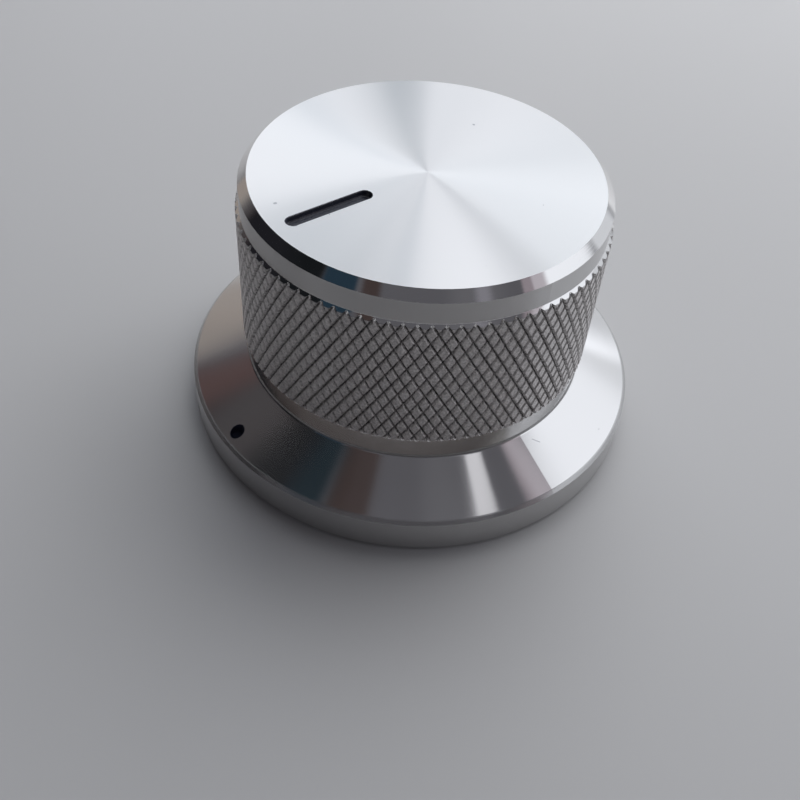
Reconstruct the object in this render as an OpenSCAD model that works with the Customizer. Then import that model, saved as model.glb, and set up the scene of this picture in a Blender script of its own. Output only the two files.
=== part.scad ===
// Knurled aluminium control knob with a skirt, for a round shaft.
// +Z is the shaft axis and the base stands on Z = 0. The pointer faces -Y.

/* [Overall] */
// Height from the base to the top face
knob_h = 25.3; // [22:0.1:32]
// Diameter of the plain turned body, at the cap and at the neck
body_d = 33; // [28:0.1:38]

/* [Cap] */
// Height of the plain cap above the knurl
cap_h = 2.9; // [1.5:0.05:5]
// Width and height of the bright chamfer round the top face
top_chamfer = 0.8; // [0.2:0.05:1.2]

/* [Knurl] */
// Distance between neighbouring grooves, square to them
knurl_pitch = 1; // [0.9:0.05:2]
// Angle of the grooves to the axis
knurl_angle = 30; // [25:1:45]
// Depth of the grooves below the crests
groove_depth = 0.28; // [0.1:0.01:0.35]
// Angle between the two walls of a groove
groove_angle = 62; // [50:1:90]
// How far the groove bottoms stand proud of the body
groove_rise = 0.05; // [0.02:0.01:0.2]
// Height of the chamfer at each end of the knurl
knurl_chamfer = 0.3; // [0.1:0.05:0.6]
// Height of the lowest row of diamonds above the knurl's end, as a share of a row
row_start = 0.84; // [0:0.01:1]
// Turn of the knurl pattern about the axis
knurl_turn = 0.8; // [0:0.1:4]

/* [Skirt] */
// Diameter of the skirt's rim
rim_d = 44; // [40:0.1:52]
// Height of the rim up to the cone
rim_h = 3.8; // [2:0.05:5]
// Height of the whole skirt, up to the neck
skirt_h = 6.45; // [5.5:0.05:9]
// Height of the plain neck between skirt and knurl
neck_h = 2.15; // [1:0.05:5]
// Chamfers at the rim's top and bottom edges
rim_chamfer = 0.25; // [0.1:0.05:0.6]
// Radius in the corner between cone and neck
corner_r = 0.3; // [0.1:0.05:0.8]

/* [Marks] */
// Width of the pointer slot and diameter of the dot, cut by one cutter
mark_w = 1.3; // [0.8:0.05:2]
// Length of the pointer slot over its round ends
slot_l = 8.35; // [4:0.05:11]
// Distance from the slot's outer end to the edge of the top face
slot_margin = 1.35; // [0.5:0.05:3]
// Depth of the pointer slot
slot_depth = 0.6; // [0.3:0.05:1.2]
// Distance from the dot's centre to the outside of the rim
dot_margin = 1.4; // [1.2:0.05:3]
// Depth of the dot at its centre
dot_depth = 0.6; // [0.5:0.05:1]
// Turn of the dot about the axis, away from the pointer
dot_turn = 1.6; // [-5:0.1:5]
// Thickness of the paint in both marks
paint_h = 0.12; // [0.05:0.01:0.25]

/* [Shaft] */
// Diameter of the shaft that the knob is made for
shaft_d = 6; // [4:0.05:8]
// Gap between shaft and bore, on each side
shaft_gap = 0.03; // [0.01:0.01:0.05]
// Depth of the bore, from the recess floor to its blind end
bore_h = 14; // [12:0.1:15]
// Angle of the drill point at the blind end
drill_angle = 118; // [90:1:140]
// Chamfer at the mouth of the bore
bore_chamfer = 0.4; // [0.1:0.05:0.8]
// Diameter of the recess that clears the nut on the panel
recess_d = 20; // [16:0.1:26]
// Depth of the nut recess
recess_h = 5; // [4.5:0.1:6]
// Chamfer at the edge of the nut recess
recess_chamfer = 0.4; // [0.1:0.05:0.8]

/* [Set screw] */
// Nominal diameter of the set screw
screw_d = 4; // [3:0.5:5]
// Length of the set screw
screw_l = 8; // [5:0.5:10]
// Height of the set screw's axis above the base
screw_z = 12.5; // [11:0.1:15]
// Gap between the screw's thread and its hole, on each side
screw_gap = 0.05; // [0.02:0.01:0.1]
// Gap between the screw's cup and the wall of the bore
screw_backoff = 0.3; // [0.1:0.05:1]
// Chamfer at both ends of the set screw
screw_chamfer = 0.4; // [0.2:0.05:0.6]
// Diameter of the cup in the screw's tip
cup_d = 2; // [1:0.1:2.2]
// Width across flats of the hexagon socket
hex_w = 2; // [1.3:0.1:2.5]
// Depth of the hexagon socket
hex_h = 2.5; // [1.5:0.1:3]

/* [Hidden] */
$fn = 96;
over = 1;                       // reach of a cutter past the surface it opens

body_r = body_d / 2;
rim_r = rim_d / 2;
face_r = body_r - top_chamfer;
cone_foot_r = rim_r - rim_chamfer;
cone_slope = (skirt_h - rim_h) / (cone_foot_r - body_r);

knurl_z = skirt_h + neck_h;
knurl_h = knob_h - cap_h - knurl_z;
root_r = body_r + groove_rise;
crest_r = root_r + groove_depth;
mid_r = (root_r + crest_r) / 2;
teeth = round(2 * PI * mid_r * cos(knurl_angle) / knurl_pitch);
tooth_angle = 360 / teeth;
half_tooth = PI * mid_r / teeth;        // along the arc
tip_r = root_r + half_tooth * cos(knurl_angle) / tan(groove_angle / 2);
row_h = half_tooth / tan(knurl_angle);
lattice_z = knurl_z - (1 - row_start) * row_h;
rows = ceil((knurl_z + knurl_h - lattice_z) / row_h);
cutter_r = tip_r + over;

slot_end_r = face_r - slot_margin - mark_w / 2;
slot_start_r = slot_end_r - slot_l + mark_w;
slot_floor = knob_h - slot_depth;
dot_r = rim_r - dot_margin;
dot_floor = rim_h + (cone_foot_r - dot_r) * cone_slope - dot_depth;

bore_r = shaft_d / 2 + shaft_gap;
bore_end = recess_h + bore_h;
drill_h = bore_r / tan(drill_angle / 2);
recess_r = recess_d / 2;

screw_r = screw_d / 2;
screw_hole_r = screw_r + screw_gap;
screw_tip = bore_r + screw_backoff;
cup_h = cup_d / 4;
hex_r = hex_w / 2 / cos(30);

// A point of the knurl's surface. Along each row the groove crossings
// and the tips of the diamonds take turns, staggered from row to row.
function is_tip(i, j) = (i + j) % 2 == 1;
function around(r, i, z) =
    let (a = knurl_turn + i * tooth_angle / 2) [r * cos(a), r * sin(a), z];
function knurl_point(i, j) =
    around(is_tip(i, j) ? tip_r : root_r, i, lattice_z + j * row_h);

// Half of the section of the turned body, from the axis outwards
module body_section() {
    polygon([
        [0, 0],
        [rim_r - rim_chamfer, 0],
        [rim_r, rim_chamfer],
        [rim_r, rim_h - rim_chamfer],
        [cone_foot_r, rim_h],
        [body_r, skirt_h],
        [body_r, knurl_z],
        [crest_r, knurl_z + knurl_chamfer],
        [crest_r, knurl_z + knurl_h - knurl_chamfer],
        [body_r, knurl_z + knurl_h],
        [body_r, knob_h - top_chamfer],
        [face_r, knob_h],
        [0, knob_h],
    ]);
    corner_fillet();
}

// Fills the corner between the neck and the cone with an arc
module corner_fillet() {
    cone_angle = atan(cone_slope);
    reach = corner_r / tan(45 + cone_angle / 2);
    centre = [body_r + corner_r, skirt_h + reach];
    difference() {
        polygon([
            [body_r, skirt_h],
            [body_r + reach * cos(cone_angle), skirt_h - reach * sin(cone_angle)],
            centre,
            [body_r, skirt_h + reach],
        ]);
        translate(centre) circle(corner_r);
    }
}

// Ring whose inner side is the grooved face of the knurl
module knurl_grooves() {
    n = 2 * teeth;
    low = (rows + 1) * n;           // first point of the ring's outer edge, below
    high = low + n;                 // and above
    points = [
        for (j = [0 : rows], i = [0 : n - 1]) knurl_point(i, j),
        for (j = [0, rows], i = [0 : n - 1]) around(cutter_r, i, lattice_z + j * row_h),
    ];
    diamonds = [
        for (j = [0 : rows], i = [0 : n - 1])
            if (is_tip(i, j))
                let (tip = j * n + i, left = j * n + (i + n - 1) % n, right = j * n + (i + 1) % n)
                    each [
                        if (j < rows) [tip, right, tip + n],
                        if (j < rows) [tip, tip + n, left],
                        if (j > 0) [tip, tip - n, right],
                        if (j > 0) [tip, left, tip - n],
                    ],
    ];
    outside = [
        for (i = [0 : n - 1])
            let (k = (i + 1) % n)
                each [
                    [i, low + i, low + k, k],
                    [low + i, high + i, high + k, low + k],
                    [rows * n + k, high + k, high + i, rows * n + i],
                ],
    ];
    polyhedron(points, concat(diamonds, outside));
}

// Nut recess, chamfered bore and drill point, all on the shaft axis
module shaft_hole() {
    rotate_extrude() polygon([
        [0, -over],
        [recess_r + recess_chamfer + over, -over],
        [recess_r, recess_chamfer],
        [recess_r, recess_h],
        [bore_r + bore_chamfer, recess_h],
        [bore_r, recess_h + bore_chamfer],
        [bore_r, bore_end],
        [0, bore_end + drill_h],
    ]);
}

// Puts its children on the set screw's axis, which runs out along +Y
module on_screw_axis() {
    translate([0, 0, screw_z]) rotate([-90, 0, 0]) children();
}

module slot_outline() {
    translate([-mark_w / 2, -slot_end_r]) square([mark_w, slot_end_r - slot_start_r]);
    for (r = [slot_start_r, slot_end_r])
        translate([0, -r]) circle(d = mark_w);
}

// Fills the pointer slot from its floor up to the height h
module slot_fill(h) {
    translate([0, 0, slot_floor]) linear_extrude(h) slot_outline();
}

// Fills the dot from its floor up to the height h
module dot_fill(h) {
    rotate([0, 0, dot_turn]) translate([0, -dot_r, dot_floor]) cylinder(h, d = mark_w);
}

module knob_body() {
    color("silver") difference() {
        rotate_extrude() body_section();
        knurl_grooves();
        shaft_hole();
        on_screw_axis() cylinder(crest_r + over, r = screw_hole_r);
        slot_fill(slot_depth + over);
        dot_fill(dot_depth + over);
    }
}

module set_screw() {
    color("dimgray") on_screw_axis() translate([0, 0, screw_tip]) difference() {
        rotate_extrude() polygon([
            [0, cup_h],
            [cup_d / 2, 0],
            [screw_r - screw_chamfer, 0],
            [screw_r, screw_chamfer],
            [screw_r, screw_l - screw_chamfer],
            [screw_r - screw_chamfer, screw_l],
            [0, screw_l],
        ]);
        translate([0, 0, screw_l - hex_h]) cylinder(hex_h + over, r = hex_r, $fn = 6);
    }
}

module pointer_paint() {
    color("black") slot_fill(paint_h);
}

module dot_paint() {
    color("black") dot_fill(paint_h);
}

knob_body();
set_screw();
pointer_paint();
dot_paint();
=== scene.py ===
import math
import random

import bmesh
import bpy
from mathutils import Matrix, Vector


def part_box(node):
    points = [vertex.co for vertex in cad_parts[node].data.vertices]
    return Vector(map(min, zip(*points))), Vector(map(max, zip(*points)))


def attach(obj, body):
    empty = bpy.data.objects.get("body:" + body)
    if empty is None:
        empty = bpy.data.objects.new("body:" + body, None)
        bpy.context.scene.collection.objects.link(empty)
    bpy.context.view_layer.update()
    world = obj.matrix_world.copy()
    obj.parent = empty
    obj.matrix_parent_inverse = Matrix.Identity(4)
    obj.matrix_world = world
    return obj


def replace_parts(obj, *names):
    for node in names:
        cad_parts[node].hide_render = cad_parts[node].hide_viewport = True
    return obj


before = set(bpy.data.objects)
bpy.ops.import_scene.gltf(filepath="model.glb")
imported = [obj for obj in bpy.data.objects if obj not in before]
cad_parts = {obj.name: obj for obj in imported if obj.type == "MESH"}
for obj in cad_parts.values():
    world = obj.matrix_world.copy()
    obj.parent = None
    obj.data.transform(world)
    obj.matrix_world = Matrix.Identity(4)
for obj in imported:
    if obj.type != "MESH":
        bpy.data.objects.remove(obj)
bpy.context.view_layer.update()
scene = bpy.context.scene
scene.view_settings.view_transform = "Standard"
mm = 0.001
print("frame loaded")

cameraView = {
    "place": (0.05655, -0.04718, 0.07371),
    "turn": (43.467, -3.322, 54.248),  # degrees about x, y and z
    "lens": 44.375,
    "sensor": 36.0,
    "nearest": 0.001,
}

cameraData = bpy.data.cameras.new("camera")
cameraData.lens = cameraView["lens"]
cameraData.sensor_width = cameraView["sensor"]
cameraData.clip_start = cameraView["nearest"]
camera = bpy.data.objects.new("camera", cameraData)
camera.location = cameraView["place"]
camera.rotation_euler = [math.radians(angle) for angle in cameraView["turn"]]
scene.collection.objects.link(camera)
scene.camera = camera
print("camera set")


# Small helpers for node trees. A value may be a number, a colour or another node's socket.
def addNode(tree, kind, **settings):
    node = tree.nodes.new(kind)
    for name, value in settings.items():
        setattr(node, name, value)
    return node


def feed(tree, value, socket):
    if isinstance(value, bpy.types.NodeSocket):
        tree.links.new(value, socket)
    else:
        socket.default_value = value


def maths(tree, operation, *values, clamp=False):
    node = addNode(tree, "ShaderNodeMath", operation=operation, use_clamp=clamp)
    for value, socket in zip(values, node.inputs):
        feed(tree, value, socket)
    return node.outputs[0]


def times(tree, first, second):
    return maths(tree, "MULTIPLY", first, second)


def timesPlus(tree, value, factor, added):
    return maths(tree, "MULTIPLY_ADD", value, factor, added)


def vectorMaths(tree, operation, *values):
    node = addNode(tree, "ShaderNodeVectorMath", operation=operation)
    for value, socket in zip(values, node.inputs):
        feed(tree, value, socket)
    return node.outputs["Value" if operation in ("LENGTH", "DOT_PRODUCT") else "Vector"]


def scaled(tree, vector, factor):
    node = addNode(tree, "ShaderNodeVectorMath", operation="SCALE")
    feed(tree, vector, node.inputs[0])
    feed(tree, factor, node.inputs["Scale"])
    return node.outputs[0]


def join(tree, x, y, z):
    node = addNode(tree, "ShaderNodeCombineXYZ")
    for value, socket in zip((x, y, z), node.inputs):
        feed(tree, value, socket)
    return node.outputs[0]


def softStep(tree, value, low, high):  # 0 up to low, 1 from high on
    node = addNode(tree, "ShaderNodeMapRange", interpolation_type="SMOOTHSTEP")
    for given, name in ((value, "Value"), (low, "From Min"), (high, "From Max")):
        feed(tree, given, node.inputs[name])
    return node.outputs["Result"]


def band(tree, value, low, high, edge):  # 1 between low and high, fading over the edge
    above = softStep(tree, value, low - edge, low)
    return times(tree, above, softStep(tree, value, high + edge, high))


def mixColour(tree, share, first, second, blend="MIX"):
    node = addNode(tree, "ShaderNodeMix", data_type="RGBA", blend_type=blend)
    for value, socket in ((share, 0), (first, 6), (second, 7)):  # 6 and 7 are the two colours
        feed(tree, value, node.inputs[socket])
    return node.outputs[2]


def steps(tree, value, stops, top):  # a value that changes in steps at given heights
    node = addNode(tree, "ShaderNodeValToRGB")
    ramp = node.color_ramp
    ramp.interpolation = "CONSTANT"
    while len(ramp.elements) < len(stops):
        ramp.elements.new(1)
    for element, (at, shade) in zip(ramp.elements, stops):
        element.position = at / top
        element.color = (shade, shade, shade, 1)
    feed(tree, maths(tree, "DIVIDE", value, top), node.inputs[0])
    return node.outputs[0]


def noise(tree, spot, scale, detail=2.0, roughness=0.5):
    node = addNode(tree, "ShaderNodeTexNoise")
    settings = {"Vector": spot, "Scale": scale, "Detail": detail, "Roughness": roughness}
    for name, given in settings.items():
        feed(tree, given, node.inputs[name])
    return node.outputs[0]


# The room round the knob: one window side, one dark side and a dim ceiling.
# Azimuth runs from +x towards +y, in degrees, and elevation up from the horizon.
room = {
    "ceiling": (0.095, 0.094, 0.105, 1),
    "lowWall": (0.36, 0.36, 0.36, 1),
    "lowWallTop": (2, 12),
    # centre azimuth, half width, centre elevation, half height, edge, lean, colour
    "panels": {
        "window": (92.9, 55.6, 33.6, 18.2, 3, 0.6, (0.917, 0.945, 1.002, 1)),
        "backWindow": (140.7, 36.7, 31.6, 33.9, 3.7, 0.58, (1.105, 1.138, 1.206, 1)),
        "sill": (87.3, 63.3, 1.8, 5.9, 4, 0, (0.646, 0.665, 0.705, 1)),
        "sillShade": (104, 10, 2, 5, 3, 0, (0.475, 0.49, 0.52, 1)),
        "lowShade": (86.5, 12.8, 11.4, 7.8, 2.7, 0, (0.64, 0.66, 0.698, 1)),
        "skylight": (132.1, 38.9, 71.2, 10.7, 5.5, -0.33, (0.957, 0.986, 1.045, 1)),
        "brightPane": (115.3, 10, 65.1, 8.1, 2.9, 0, (1.084, 1.117, 1.183, 1)),
        "shadedPane": (123.3, 4.4, 39.5, 15.4, 1.4, -0.41, (0.475, 0.54, 0.585, 1)),
        "frameBar": (158.3, 5, 48.7, 9.5, 2.3, -0.4, (0.12, 0.19, 0.25, 1)),
        "secondBar": (149, 1, 28.3, 17.8, 2.4, -0.37, (0.45, 0.53, 0.623, 1)),
        "blind": (152, 1, 34.6, 9.6, 2, 0.09, (0.7, 0.755, 0.815, 1)),
        "wallShade": (143, 2.15, 12.7, 19, 0.8, 0.04, (0.05, 0.11, 0.15, 1)),
        "windowPost": (147.3, 4.3, 66.3, 10.7, 2.3, 0.22, (0.12, 0.2, 0.27, 1)),
        "windowLedge": (146, 4.2, 37.1, 3.6, 1.4, 0, (0.58, 0.64, 0.695, 1)),
        "creamWall": (181.7, 16.5, 3.1, 17.2, 6, 0.1, (0.288, 0.254, 0.232, 1)),
        "sleeve": (216.5, 22.5, 36.7, 27.5, 5.2, 0, (0.052, 0.047, 0.049, 1)),
        "darkCoat": (230.7, 24.5, 14, 20, 3, 0, (0.012, 0.012, 0.015, 1)),
        "darkHead": (243.5, 17.1, 56, 25.1, 3.9, 0, (0.007, 0.0082, 0.0094, 1)),
        "blueCuff": (268.3, 12.2, 45, 12, 2, -0.7, (0.017, 0.033, 0.05, 1)),
        "blueSleeve": (251, 10, 68, 11, 2, -0.7, (0.0125, 0.0215, 0.0275, 1)),
        "brownShelf": (276.2, 6.8, 61.8, 18.7, 2.5, -0.93, (0.05, 0.036, 0.034, 1)),
        "brownBook": (283, 10.8, 72, 10, 3, -0.3, (0.05, 0.036, 0.034, 1)),
        "ceilingGlow": (0, 16, 55, 22, 9, 0, (0.121, 0.12, 0.132, 1)),
        "curtain": (32.3, 5.2, 37, 21, 1.5, 0.9, (0.27, 0.235, 0.26, 1)),
        "curtainFold": (43.8, 4.3, 43.5, 17, 1.3, 0.72, (0.453, 0.421, 0.459, 1)),
        "lampTail": (4.2, 4.5, 44, 7, 3, 0, (0.212, 0.208, 0.235, 1)),
        "lamp": (32, 11.2, 65.6, 5.5, 1, 3.3, (0.72, 0.72, 0.757, 1)),
        "redSleeve": (199.5, 5.5, 29, 12, 3, 0, (0.074, 0.043, 0.041, 1)),
    },
}

world = bpy.data.worlds.new("room")
scene.world = world
world.use_nodes = True
tree = world.node_tree
tree.nodes.clear()
direction = addNode(tree, "ShaderNodeSeparateXYZ")
tree.links.new(addNode(tree, "ShaderNodeTexCoord").outputs["Generated"], direction.inputs[0])
eastward, northward, upward = direction.outputs
azimuth = maths(tree, "DEGREES", maths(tree, "ARCTAN2", northward, eastward))
elevation = maths(tree, "DEGREES", maths(tree, "ARCSINE", upward))
aboveWall = softStep(tree, elevation, *room["lowWallTop"])
roomColour = mixColour(tree, aboveWall, room["lowWall"], room["ceiling"])
for aroundAt, halfWidth, upAt, halfHeight, edge, lean, colour in room["panels"].values():
    above = maths(tree, "SUBTRACT", elevation, upAt)
    aside = maths(tree, "SUBTRACT", azimuth, timesPlus(tree, above, lean, aroundAt))
    aside = maths(tree, "ABSOLUTE", maths(tree, "WRAP", aside, 180.0, -180.0))
    above = maths(tree, "ABSOLUTE", above)
    inWidth = softStep(tree, aside, halfWidth + edge, halfWidth - edge)
    inHeight = softStep(tree, above, halfHeight + edge, halfHeight - edge)
    roomColour = mixColour(tree, times(tree, inWidth, inHeight), roomColour, colour)
background = addNode(tree, "ShaderNodeBackground")
feed(tree, roomColour, background.inputs["Color"])
tree.links.new(background.outputs[0], addNode(tree, "ShaderNodeOutputWorld").inputs[0])
print("room lit")

floorLook = {
    "side": 3.0,
    "colour": (0.53, 0.53, 0.536, 1),
    "roughness": 0.42,
}
bpy.ops.mesh.primitive_plane_add(size=floorLook["side"])
floor = bpy.context.object
floor.name = "floor"
floorPaint = bpy.data.materials.new("floorPaint")
floorPaint.use_nodes = True
floorShader = floorPaint.node_tree.nodes["Principled BSDF"]
floorShader.inputs["Base Color"].default_value = floorLook["colour"]
floorShader.inputs["Roughness"].default_value = floorLook["roughness"]
floor.data.materials.append(floorPaint)

lampLook = {
    "size": 0.42,
    "azimuth": 112,
    "elevation": 38,
    "distance": 0.36,
    "power": 1.12,
}
around = math.radians(lampLook["azimuth"])
upwards = math.radians(lampLook["elevation"])
lampData = bpy.data.lights.new("windowPanel", "AREA")
lampData.size = lampLook["size"]
lampData.energy = lampLook["power"]
lampPanel = bpy.data.objects.new("windowPanel", lampData)
level = math.cos(upwards)
way = Vector((math.cos(around) * level, math.sin(around) * level, math.sin(upwards)))
lampPanel.location = lampLook["distance"] * way
lampPanel.rotation_euler = lampPanel.location.to_track_quat("Z", "Y").to_euler()
lampPanel.visible_glossy = False
scene.collection.objects.link(lampPanel)

# A low dark flag, seen only in reflections, stands in for the desk's edge in front
flagLook = {
    "radius": 62 * mm,
    "height": 0.19,  # as a share of the radius
    "arc": (186, 392),  # degrees, from +x towards +y
    "flareEnd": 204,  # up to this angle it swings outwards
    "flare": 2.6 * mm,  # by this much a degree
    "rise": 10,  # degrees over which its height grows from nothing
    "taper": 350,  # from this angle its height runs out
    "steps": 65,
    "colour": (0.086, 0.07, 0.064, 1),
    "roughness": 1,
}
start, end = flagLook["arc"]
angle = math.radians(start)
sheet = bmesh.new()
ends = [sheet.verts.new((math.cos(angle), math.sin(angle), height)) for height in (0, 1)]
bmesh.ops.spin(
    sheet,
    geom=ends + [sheet.edges.new(ends)],
    axis=(0, 0, 1),
    cent=(0, 0, 0),
    angle=math.radians(end - start),
    steps=flagLook["steps"],
)
# Each point of the even band moves out to the flag's own radius and height
for point in sheet.verts:
    bearing = math.degrees(math.atan2(point.co.y, point.co.x))
    turned = start - 1 + (bearing - start + 1) % 360  # counted on past a full turn, as in the arc
    reach = flagLook["radius"] + flagLook["flare"] * max(0, flagLook["flareEnd"] - turned)
    risen = (turned - start + 1) / flagLook["rise"]
    left = (end + 1 - turned) / (end - flagLook["taper"])
    height = reach * flagLook["height"] * min(1, risen, left)
    point.co = Vector((point.co.x * reach, point.co.y * reach, point.co.z * height))
flagMesh = bpy.data.meshes.new("flag")
sheet.to_mesh(flagMesh)
sheet.free()
flag = bpy.data.objects.new("flag", flagMesh)
flagPaint = bpy.data.materials.new("flagPaint")
flagPaint.use_nodes = True
flagShader = flagPaint.node_tree.nodes["Principled BSDF"]
flagShader.inputs["Base Color"].default_value = flagLook["colour"]
flagShader.inputs["Roughness"].default_value = flagLook["roughness"]
flagMesh.materials.append(flagPaint)
scene.collection.objects.link(flag)
flag.visible_camera = flag.visible_diffuse = flag.visible_shadow = False
print("floor and lamp set")


def plainTree(material):  # an empty tree with a Principled shader in it
    material.use_nodes = True
    tree = material.node_tree
    tree.nodes.clear()
    shader = addNode(tree, "ShaderNodeBsdfPrincipled")
    tree.links.new(shader.outputs[0], addNode(tree, "ShaderNodeOutputMaterial").inputs[0])
    return tree, shader


def objectSpot(tree):  # where a point lies on its piece, in millimetres
    return scaled(tree, addNode(tree, "ShaderNodeTexCoord").outputs["Object"], 1 / mm)


def addBump(tree, height):  # height in millimetres
    bump = addNode(tree, "ShaderNodeBump")
    feed(tree, mm, bump.inputs["Distance"])
    feed(tree, height, bump.inputs["Height"])
    return bump.outputs[0]


def makeGroup(name, inputs, output):
    group = bpy.data.node_groups.new(name, "ShaderNodeTree")
    for label, kind in inputs:
        group.interface.new_socket(label, in_out="INPUT", socket_type=kind)
    group.interface.new_socket(output, in_out="OUTPUT", socket_type="NodeSocketFloat")
    given = addNode(group, "NodeGroupInput")
    made = addNode(group, "NodeGroupOutput")
    return group, given.outputs, made.inputs[0]


def place(tree, group, **values):
    node = addNode(tree, "ShaderNodeGroup", node_tree=group)
    for name, value in values.items():
        feed(tree, value, node.inputs[name])
    return node.outputs[0]


# Dust: small round specks scattered over a surface
dust, given, made = makeGroup(
    "dust",
    (("Spot", "NodeSocketVector"), ("Spacing", "NodeSocketFloat"), ("Size", "NodeSocketFloat")),
    "Mask",
)
cells = addNode(dust, "ShaderNodeTexVoronoi")
perCell = maths(dust, "DIVIDE", 1.0, given["Spacing"])
feed(dust, scaled(dust, given["Spot"], perCell), cells.inputs["Vector"])
feed(dust, 1.0, cells.inputs["Scale"])
away = times(dust, cells.outputs["Distance"], given["Spacing"])
feed(dust, softStep(dust, away, given["Size"], times(dust, given["Size"], 0.5)), made)

# Thread: the ridges of a screw thread along y, with the axis at a given height
thread, given, made = makeGroup(
    "thread",
    (("Spot", "NodeSocketVector"), ("Pitch", "NodeSocketFloat"), ("Axis", "NodeSocketFloat")),
    "Height",
)
apart = addNode(thread, "ShaderNodeSeparateXYZ")
feed(thread, given["Spot"], apart.inputs[0])
lifted = maths(thread, "SUBTRACT", apart.outputs["Z"], given["Axis"])
lap = maths(thread, "DIVIDE", maths(thread, "ARCTAN2", lifted, apart.outputs["X"]), 2 * math.pi)
along = maths(thread, "ADD", maths(thread, "DIVIDE", apart.outputs["Y"], given["Pitch"]), lap)
feed(thread, maths(thread, "PINGPONG", along, 0.5), made)


def nearLine(tree, spot, start, end, reach):  # 1 within half the reach of a line, 0 beyond it
    way = Vector(end) - Vector(start)
    apart = vectorMaths(tree, "SUBTRACT", spot, start)
    share = vectorMaths(tree, "DOT_PRODUCT", apart, tuple(way / way.length_squared))
    share = maths(tree, "ADD", share, 0.0, clamp=True)
    gap = vectorMaths(tree, "SUBTRACT", apart, scaled(tree, tuple(way), share))
    return softStep(tree, vectorMaths(tree, "LENGTH", gap), reach, reach / 2)


turnedLook = {
    "top": 25.3,
    # height from which a finish starts, its brightness, its roughness
    "finishes": {
        "rim": (0.0, 0.60, 0.24),
        "cone": (3.8, 0.88, 0.125),
        # the corner's low brightness is painted shade in the crease between cone and neck
        "corner": (6.37, 0.40, 0.26),
        # the neck's lower brightness is painted shade, for the dark reflection in front
        "neck": (6.63, 0.70, 0.045),
        "lowLedge": (8.6, 0.80, 0.105),
        "crests": (8.9, 0.67, 0.35),
        "highLedge": (22.1, 0.88, 0.08),
        "cap": (22.4, 0.69, 0.35),
        "chamfer": (24.49, 0.88, 0.07),
        "face": (25.29, 0.95, 0.28),
    },
    "anisotropic": 1.0,
    "faceTilt": 0.05,
    "faceEdge": (25.28, 25.295),
    "knurl": (8.95, 22.05, 0.05),  # lower and upper end, and the width of both edges
    "grooveRadius": (16.82, 16.57),  # where a groove begins below the crests, and where it is full
    # painted warm light: a slight warm tint on the knurl, standing in for warm light from the
    # front
    "knurlPaintedWarmLight": (1.0, 0.972, 0.965, 1),
    # painted shade: the grooves' brightness is lowered to this share
    "grooveShadeTone": 0.6,
    "grooveSpread": 2.0,  # how far the grain shifts the brightness
    "grooveRoughness": 0.12,
    "grooveGrain": (5.0, 3.0, 0.6),  # grains per millimetre, detail and roughness
    "grooveBump": 0.25,
    "crestSpread": 1.52,
    "metalTint": (1.008, 1.0, 0.995),
    # painted shade: share of brightness left inside the recess and bore underneath
    "recessShadeTone": 0.5,
    "boredRadius": (10.5, 10.4),
    "boredTop": (24, 23),
    "lineSpacing": 0.11,
    "lineBump": 0.0015,
    "screwHoleHeight": 12.5,
    "screwHoleRadius": (2.1, 2.08),
    "screwHoleStart": (3.3, 3.5),
    "threadPitch": 0.7,
    "threadBump": 0.25,
    "specks": (5.5, 0.07),
    "speckColour": (0.2, 0.2, 0.21, 1),
    # start, end and reach of each small mark
    "marks": (
        ((-2.85, -13.72, 25.3), (-2.83, -13.64, 25.3), 0.16),
        ((-4.04, 8.34, 25.3), (-3.98, 8.34, 25.3), 0.14),
        ((17.30, 0.95, 6.0), (17.80, 1.50, 5.75), 0.06),
    ),
    "markColour": (0.55, 0.55, 0.57, 1),
}
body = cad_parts["knob_body"]
tree, shader = plainTree(body.data.materials[0])
feed(tree, 1.0, shader.inputs["Metallic"])
feed(tree, turnedLook["anisotropic"], shader.inputs["Anisotropic"])
spot = objectSpot(tree)
parts = addNode(tree, "ShaderNodeSeparateXYZ")
feed(tree, spot, parts.inputs[0])
x, y, z = parts.outputs
flat = join(tree, x, y, 0.0)
radius = vectorMaths(tree, "LENGTH", flat)
outward = vectorMaths(tree, "NORMALIZE", flat)
acrossLines = vectorMaths(tree, "ADD", outward, (0, 0, -1))  # square to the turning marks
feed(tree, acrossLines, shader.inputs["Tangent"])

finishes = turnedLook["finishes"].values()
tone = steps(tree, z, [(start, shade) for start, shade, rough in finishes], turnedLook["top"])
roughness = steps(tree, z, [(start, rough) for start, shade, rough in finishes], turnedLook["top"])
# Painted shade: the recess and bore underneath are made darker
paintedRecessShade = softStep(tree, radius, *turnedLook["boredRadius"])
paintedRecessShade = times(tree, paintedRecessShade, softStep(tree, z, *turnedLook["boredTop"]))
tone = times(tree, tone, timesPlus(tree, paintedRecessShade, turnedLook["recessShadeTone"] - 1, 1.0))

# The walls and bottoms of the knurl's grooves are scratchy, and painted shade makes them darker
inKnurl = band(tree, z, *turnedLook["knurl"])
inGroove = times(tree, inKnurl, softStep(tree, radius, *turnedLook["grooveRadius"]))
grain = noise(tree, spot, *turnedLook["grooveGrain"])
evenGrain = maths(tree, "SUBTRACT", grain, 0.5)
grooveShadeTone = timesPlus(tree, evenGrain, turnedLook["grooveSpread"], turnedLook["grooveShadeTone"])
crestGrain = times(tree, evenGrain, inKnurl)
tone = times(tree, tone, timesPlus(tree, crestGrain, turnedLook["crestSpread"], 1.0))
# painted shade in the knurl's grooves
paintedGrooveShade = maths(tree, "SUBTRACT", grooveShadeTone, 1.0)
tone = times(tree, tone, timesPlus(tree, inGroove, paintedGrooveShade, 1.0))
colour = scaled(tree, turnedLook["metalTint"], tone)
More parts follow.
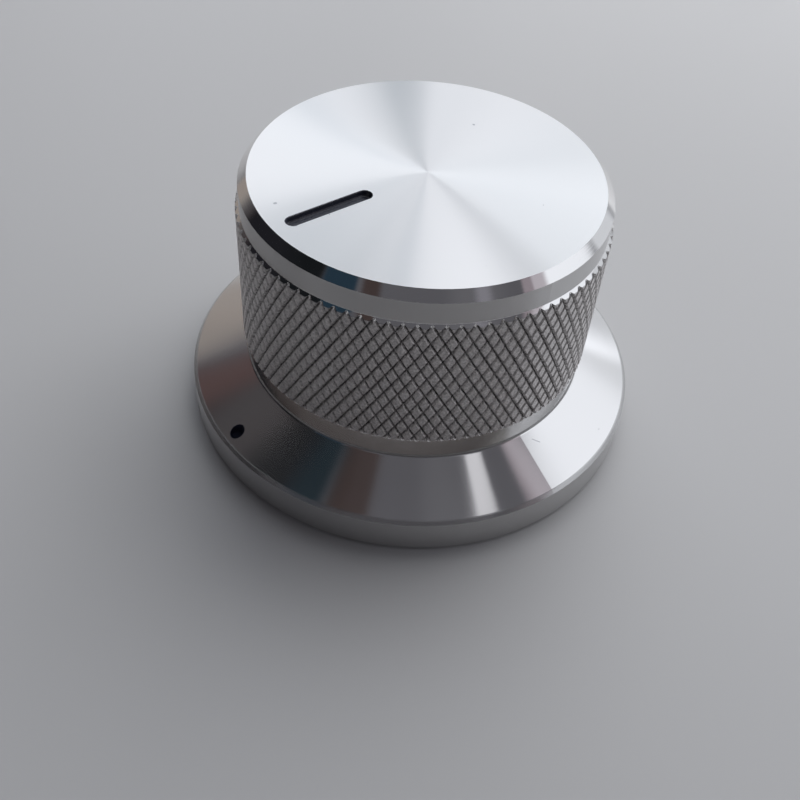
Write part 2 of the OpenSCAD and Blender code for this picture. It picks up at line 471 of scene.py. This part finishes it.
# painted warm light: the knurl's colour is tinted warm
colour = mixColour(tree, inKnurl, colour, turnedLook["knurlPaintedWarmLight"], blend="MULTIPLY")
spacing, size = turnedLook["specks"]
specks = place(tree, dust, Spot=spot, Spacing=spacing, Size=size)
colour = mixColour(tree, specks, colour, turnedLook["speckColour"])
for start, end, reach in turnedLook["marks"]:
    mark = nearLine(tree, spot, start, end, reach)
    colour = mixColour(tree, mark, colour, turnedLook["markColour"])
feed(tree, colour, shader.inputs["Base Color"])
roughness = timesPlus(tree, inGroove, turnedLook["grooveRoughness"], roughness)
feed(tree, roughness, shader.inputs["Roughness"])

# Fine rings from turning, the grain in the grooves and the thread of the screw's hole
lines = noise(tree, join(tree, radius, z, 0.0), 1 / turnedLook["lineSpacing"], detail=1.0)
holeHeight = turnedLook["screwHoleHeight"]
lifted = maths(tree, "SUBTRACT", z, holeHeight)
fromAxis = vectorMaths(tree, "LENGTH", join(tree, x, lifted, 0.0))
inHole = softStep(tree, fromAxis, *turnedLook["screwHoleRadius"])
inHole = times(tree, inHole, softStep(tree, y, *turnedLook["screwHoleStart"]))
ridges = place(tree, thread, Spot=spot, Pitch=turnedLook["threadPitch"], Axis=holeHeight)
relief = times(tree, lines, turnedLook["lineBump"])
relief = timesPlus(tree, times(tree, grain, inGroove), turnedLook["grooveBump"], relief)
relief = timesPlus(tree, times(tree, ridges, inHole), turnedLook["threadBump"], relief)
bumped = addBump(tree, relief)

# The face's turning marks lean outwards, so its shine shifts as on a turned disc
onFace = softStep(tree, z, *turnedLook["faceEdge"])
lean = scaled(tree, outward, times(tree, onFace, turnedLook["faceTilt"]))
leaning = vectorMaths(tree, "NORMALIZE", vectorMaths(tree, "ADD", bumped, lean))
feed(tree, leaning, shader.inputs["Normal"])
print("body finished")


# A closed piece: a grid is wrapped round into a sleeve, ring by ring, and closed at both ends
def skin(name, rings, material, sharpAngle):
    shape = bmesh.new()
    segments = {"x_segments": len(rings[0]), "y_segments": len(rings) - 1}
    corners = bmesh.ops.create_grid(shape, size=1, **segments)["verts"]
    points = [point for ring in rings for point in ring + ring[:1]]
    for corner, point in zip(corners, points):
        corner.co = point
    bmesh.ops.remove_doubles(shape, verts=shape.verts, dist=1e-9)  # joins the seam
    bmesh.ops.edgeloop_fill(shape, edges=[edge for edge in shape.edges if edge.is_boundary])
    bmesh.ops.recalc_face_normals(shape, faces=shape.faces)
    mesh = bpy.data.meshes.new(name)
    shape.to_mesh(mesh)
    shape.free()
    mesh.shade_smooth()
    mesh.set_sharp_from_angle(angle=math.radians(sharpAngle))
    mesh.materials.append(material)
    piece = bpy.data.objects.new(name, mesh)
    scene.collection.objects.link(piece)
    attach(piece, "root")
    return piece


# Paint runs up the walls of both marks and creeps a little over their edges
paintLook = {
    "points": 256,
    # distance in from the mark's wall, height above its floor
    "floor": ((0.10, 0.24), (0.16, 0.16), (0.26, 0.13), (0.42, 0.12), (0.60, 0.115)),
    "wall": (0.002, 0.05),  # the buried side: distance in and depth of its top
    # distance in from the mark's wall, depth below the surface
    "edge": ((-0.035, -0.006), (-0.01, -0.012), (0.03, 0.02), (0.06, 0.10)),
    "ragged": 0.03,
    "waves": (13, 21, 31, 44, 57),
    "sharpAngle": 50,
    "colour": (0.009, 0.0105, 0.021, 1),
    "paleColour": (0.02, 0.023, 0.043, 1),
    "grain": 1.5,  # per millimetre
    "bumpGrain": 4.0,
    "bump": 0.012,
    "pointer": (0.8, (0.18, 0.32)),  # shine and roughness
    "dot": (0.08, (0.55, 0.75)),
    "specks": (1.4, 0.03),
    "speckColour": (0.25, 0.26, 0.28, 1),
    "seed": 5,
}


def paintMaterial(name, shine, roughness):
    paint = bpy.data.materials.new(name)
    tree, shader = plainTree(paint)
    feed(tree, shine, shader.inputs["Specular IOR Level"])
    spot = objectSpot(tree)
    blotches = noise(tree, spot, paintLook["grain"])
    colour = mixColour(tree, blotches, paintLook["colour"], paintLook["paleColour"])
    spacing, size = paintLook["specks"]
    specks = place(tree, dust, Spot=spot, Spacing=spacing, Size=size)
    colour = mixColour(tree, specks, colour, paintLook["speckColour"])
    feed(tree, colour, shader.inputs["Base Color"])
    low, high = roughness
    feed(tree, timesPlus(tree, blotches, high - low, low), shader.inputs["Roughness"])
    waves = noise(tree, spot, paintLook["bumpGrain"])
    feed(tree, addBump(tree, times(tree, waves, paintLook["bump"])), shader.inputs["Normal"])
    return paint


cone = {"foot": (21.75, 3.8), "top": (16.5, 6.45)}  # radius and height


def faceHeight(x, y):
    return turnedLook["top"]


def coneHeight(x, y):
    (footRadius, footHeight), (topRadius, topHeight) = cone["foot"], cone["top"]
    slope = (topHeight - footHeight) / (footRadius - topRadius)
    return footHeight + (footRadius - math.hypot(x, y)) * slope


def paintFilm(name, node, surface, paint):
    lowest, highest = (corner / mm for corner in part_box(node))
    middle = (lowest + highest) / 2
    half = (highest.x - lowest.x) / 2
    reach = (highest.y - lowest.y) / 2 - half  # from the middle to the centre of each round end
    chance = random.Random(paintLook["seed"])
    waves = [(wave, chance.uniform(0, 2 * math.pi)) for wave in paintLook["waves"]]

    def ring(inset, level):
        points = []
        for index in range(paintLook["points"]):
            angle = 2 * math.pi * (index + 0.5) / paintLook["points"]
            wobble = sum(math.sin(wave * angle + phase) for wave, phase in waves)
            wobble *= paintLook["ragged"] / len(waves) if inset < 0 else 0
            out = half - inset + wobble
            x = middle.x + out * math.cos(angle)
            y = middle.y + out * math.sin(angle) + math.copysign(reach, math.sin(angle))
            points.append(mm * Vector((x, y, level(x, y))))
        return points

    wallInset, wallDepth = paintLook["wall"]
    rings = [ring(wallInset, lambda x, y: lowest.z)]
    rings.append(ring(wallInset, lambda x, y: surface(x, y) - wallDepth))
    for inset, depth in paintLook["edge"]:
        rings.append(ring(inset, lambda x, y: surface(x, y) - depth))
    for inset, height in paintLook["floor"]:
        rings.append(ring(inset, lambda x, y: lowest.z + height))
    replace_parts(skin(name, rings, paint, paintLook["sharpAngle"]), node)


pointerPaint = paintMaterial("pointerPaint", *paintLook["pointer"])
dotPaint = paintMaterial("dotPaint", *paintLook["dot"])
paintFilm("pointer_film", "pointer_paint", faceHeight, pointerPaint)
paintFilm("dot_film", "dot_paint", coneHeight, dotPaint)
print("marks painted")

# Set screw with a real thread, a hexagon socket outside and a cup at the tip
screwLook = {
    "points": 72,
    "pitch": 0.7,
    "threadDepth": 0.43,
    "turnsPerRing": 1 / 12,
    "flats": (1.3, 0.15),  # the flanks' steepness, and how wide the flats at root and crest are
    "chamfer": 0.4,
    "cup": (1.0, 0.5),
    "tipRadius": 0.03,  # where the cup's and the socket's cones end
    "socket": 2.0,  # across flats
    "socketDepth": 2.5,
    "socketCone": 0.3,  # depth of the cone below the socket's floor
    "socketChamfer": 0.12,
    "sharpAngle": 35,
    "colour": (0.028, 0.028, 0.030, 1),
    "wornColour": (0.11, 0.108, 0.106, 1),
    "grain": (2.0, 4.0, 0.6),  # blotches per millimetre, detail and roughness
    "wear": (0.45, 0.75),  # where a blotch begins to look worn, and where it is
    "bump": 0.01,
    "roughness": (0.32, 0.52),
}
oxide = bpy.data.materials.new("blackOxide")
tree, shader = plainTree(oxide)
feed(tree, 1.0, shader.inputs["Metallic"])
blotches = noise(tree, objectSpot(tree), *screwLook["grain"])
worn = softStep(tree, blotches, *screwLook["wear"])
colour = mixColour(tree, worn, screwLook["colour"], screwLook["wornColour"])
feed(tree, colour, shader.inputs["Base Color"])
low, high = screwLook["roughness"]
feed(tree, timesPlus(tree, blotches, high - low, low), shader.inputs["Roughness"])
feed(tree, addBump(tree, times(tree, blotches, screwLook["bump"])), shader.inputs["Normal"])

lowest, highest = (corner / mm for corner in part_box("set_screw"))
screwRadius = (highest.x - lowest.x) / 2
screwHeight = (highest.z + lowest.z) / 2


def screwRing(along, radiusAt):
    points = []
    for index in range(screwLook["points"]):
        angle = 2 * math.pi * index / screwLook["points"]
        out = radiusAt(angle)
        height = screwHeight + out * math.sin(angle)
        points.append(mm * Vector((out * math.cos(angle), along, height)))
    return points


def threadRadius(angle, along):
    lap = (along / screwLook["pitch"] + angle / (2 * math.pi)) % 1
    steep, lift = screwLook["flats"]
    ridge = min(1, max(0, steep * abs(2 * lap - 1) - lift))
    nearEnd = min(along - lowest.y, highest.y - along)
    limit = screwRadius - screwLook["chamfer"] + nearEnd
    return min(limit, screwRadius - screwLook["threadDepth"] * (1 - ridge))


def hexRadius(angle, flats):
    return flats / 2 / math.cos((angle + math.pi / 6) % (math.pi / 3) - math.pi / 6)


cupRadius, cupDepth = screwLook["cup"]
length = highest.y - lowest.y
count = round(length / screwLook["pitch"] / screwLook["turnsPerRing"])
socket = screwLook["socket"]
mouth = socket + 2 * screwLook["socketChamfer"]
mouthEnd = highest.y - screwLook["socketChamfer"]
socketFloor = highest.y - screwLook["socketDepth"]
tipRadius = screwLook["tipRadius"]
rings = [
    screwRing(lowest.y + cupDepth, lambda angle: tipRadius),
    screwRing(lowest.y, lambda angle: cupRadius),
]
for index in range(count + 1):
    along = lowest.y + length * index / count
    rings.append(screwRing(along, lambda angle: threadRadius(angle, along)))
rings += [
    screwRing(highest.y, lambda angle: hexRadius(angle, mouth)),
    screwRing(mouthEnd, lambda angle: hexRadius(angle, socket)),
    screwRing(socketFloor, lambda angle: hexRadius(angle, socket)),
    screwRing(socketFloor - screwLook["socketCone"], lambda angle: tipRadius),
]
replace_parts(skin("set_screw_threaded", rings, oxide, screwLook["sharpAngle"]), "set_screw")
print("set screw threaded")
